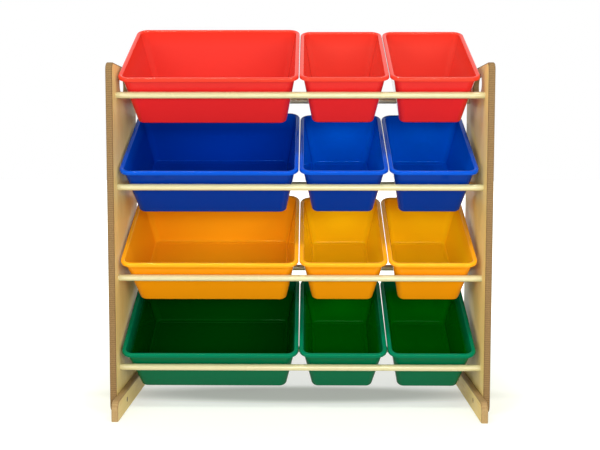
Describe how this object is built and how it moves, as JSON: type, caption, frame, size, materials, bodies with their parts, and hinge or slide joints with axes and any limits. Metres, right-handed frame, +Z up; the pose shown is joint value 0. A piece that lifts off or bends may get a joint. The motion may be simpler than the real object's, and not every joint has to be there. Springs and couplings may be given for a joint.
{
  "type": "toy storage organizer",
  "caption": "Open shelf frame for toys: side panels on feet joined by paired rods, with removable drafted plastic bins resting tilted forward on each tier of rods.",
  "frame": {"origin": "on the floor, midway between the side panels and midway along their depth", "axes": "+X to the right as seen from the front, +Y to the back, +Z up"},
  "size_m": [0.857, 0.384, 0.8991],
  "materials": {
    "maple_laminate": "satin laminate with a faint maple grain, fibreboard-brown edges",
    "cream_enamel": "gloss cream enamel",
    "zinc_steel": "zinc plated",
    "plug_nylon": "matte",
    "red_plastic": "gloss",
    "blue_plastic": "gloss",
    "yellow_plastic": "gloss",
    "green_plastic": "gloss"
  },
  "bodies": {
    "frame": {"side_panel_left": "maple_laminate", "foot_left": "maple_laminate", "side_panel_right": "maple_laminate", "foot_right": "maple_laminate", "front_rod_1": "cream_enamel", "rear_rod_1": "cream_enamel", "front_rod_2": "cream_enamel", "rear_rod_2": "cream_enamel", "front_rod_3": "cream_enamel", "rear_rod_3": "cream_enamel", "front_rod_4": "cream_enamel", "rear_rod_4": "cream_enamel", "rod_plug_left_front_1": "plug_nylon", "rod_bolt_left_front_1": "zinc_steel", "rod_plug_right_front_1": "plug_nylon", "rod_bolt_right_front_1": "zinc_steel", "rod_plug_left_rear_1": "plug_nylon", "rod_bolt_left_rear_1": "zinc_steel", "rod_plug_right_rear_1": "plug_nylon", "rod_bolt_right_rear_1": "zinc_steel", "rod_plug_left_front_2": "plug_nylon", "rod_bolt_left_front_2": "zinc_steel", "rod_plug_right_front_2": "plug_nylon", "rod_bolt_right_front_2": "zinc_steel", "rod_plug_left_rear_2": "plug_nylon", "rod_bolt_left_rear_2": "zinc_steel", "rod_plug_right_rear_2": "plug_nylon", "rod_bolt_right_rear_2": "zinc_steel", "rod_plug_left_front_3": "plug_nylon", "rod_bolt_left_front_3": "zinc_steel", "rod_plug_right_front_3": "plug_nylon", "rod_bolt_right_front_3": "zinc_steel", "rod_plug_left_rear_3": "plug_nylon", "rod_bolt_left_rear_3": "zinc_steel", "rod_plug_right_rear_3": "plug_nylon", "rod_bolt_right_rear_3": "zinc_steel", "rod_plug_left_front_4": "plug_nylon", "rod_bolt_left_front_4": "zinc_steel", "rod_plug_right_front_4": "plug_nylon", "rod_bolt_right_front_4": "zinc_steel", "rod_plug_left_rear_4": "plug_nylon", "rod_bolt_left_rear_4": "zinc_steel", "rod_plug_right_rear_4": "plug_nylon", "rod_bolt_right_rear_4": "zinc_steel", "foot_screw_left_front": "zinc_steel", "foot_screw_left_rear": "zinc_steel", "foot_screw_right_front": "zinc_steel", "foot_screw_right_rear": "zinc_steel"},
    "bin_large_1": {"bin_large_1": "red_plastic"},
    "bin_small_middle_1": {"bin_small_middle_1": "red_plastic"},
    "bin_small_right_1": {"bin_small_right_1": "red_plastic"},
    "bin_large_2": {"bin_large_2": "blue_plastic"},
    "bin_small_middle_2": {"bin_small_middle_2": "blue_plastic"},
    "bin_small_right_2": {"bin_small_right_2": "blue_plastic"},
    "bin_large_3": {"bin_large_3": "yellow_plastic"},
    "bin_small_middle_3": {"bin_small_middle_3": "yellow_plastic"},
    "bin_small_right_3": {"bin_small_right_3": "yellow_plastic"},
    "bin_large_4": {"bin_large_4": "green_plastic"},
    "bin_small_middle_4": {"bin_small_middle_4": "green_plastic"},
    "bin_small_right_4": {"bin_small_right_4": "green_plastic"}
  },
  "joints": [
    {"name": "bin_large_1_lift", "type": "slide", "parent": "frame", "child": "bin_large_1", "axis": [0, 0, 1], "range_m": [0, 0.24]},
    {"name": "bin_small_middle_1_lift", "type": "slide", "parent": "frame", "child": "bin_small_middle_1", "axis": [0, 0, 1], "range_m": [0, 0.24]},
    {"name": "bin_small_right_1_lift", "type": "slide", "parent": "frame", "child": "bin_small_right_1", "axis": [0, 0, 1], "range_m": [0, 0.24]},
    {"name": "bin_large_2_tip", "type": "hinge", "parent": "frame", "child": "bin_large_2", "pos_m": [0, 0.105, 0.513], "axis": [-1, 0, 0], "range_deg": [0, 28.5]},
    {"name": "bin_small_middle_2_tip", "type": "hinge", "parent": "frame", "child": "bin_small_middle_2", "pos_m": [0, 0.105, 0.513], "axis": [-1, 0, 0], "range_deg": [0, 27.3]},
    {"name": "bin_small_right_2_tip", "type": "hinge", "parent": "frame", "child": "bin_small_right_2", "pos_m": [0, 0.105, 0.513], "axis": [-1, 0, 0], "range_deg": [0, 27.3]},
    {"name": "bin_large_3_tip", "type": "hinge", "parent": "frame", "child": "bin_large_3", "pos_m": [0, 0.105, 0.306], "axis": [-1, 0, 0], "range_deg": [0, 28.5]},
    {"name": "bin_small_middle_3_tip", "type": "hinge", "parent": "frame", "child": "bin_small_middle_3", "pos_m": [0, 0.105, 0.306], "axis": [-1, 0, 0], "range_deg": [0, 27.3]},
    {"name": "bin_small_right_3_tip", "type": "hinge", "parent": "frame", "child": "bin_small_right_3", "pos_m": [0, 0.105, 0.306], "axis": [-1, 0, 0], "range_deg": [0, 27.3]},
    {"name": "bin_large_4_tip", "type": "hinge", "parent": "frame", "child": "bin_large_4", "pos_m": [0, 0.105, 0.099], "axis": [-1, 0, 0], "range_deg": [0, 28.5]},
    {"name": "bin_small_middle_4_tip", "type": "hinge", "parent": "frame", "child": "bin_small_middle_4", "pos_m": [0, 0.105, 0.099], "axis": [-1, 0, 0], "range_deg": [0, 27.3]},
    {"name": "bin_small_right_4_tip", "type": "hinge", "parent": "frame", "child": "bin_small_right_4", "pos_m": [0, 0.105, 0.099], "axis": [-1, 0, 0], "range_deg": [0, 27.3]}
  ]
}
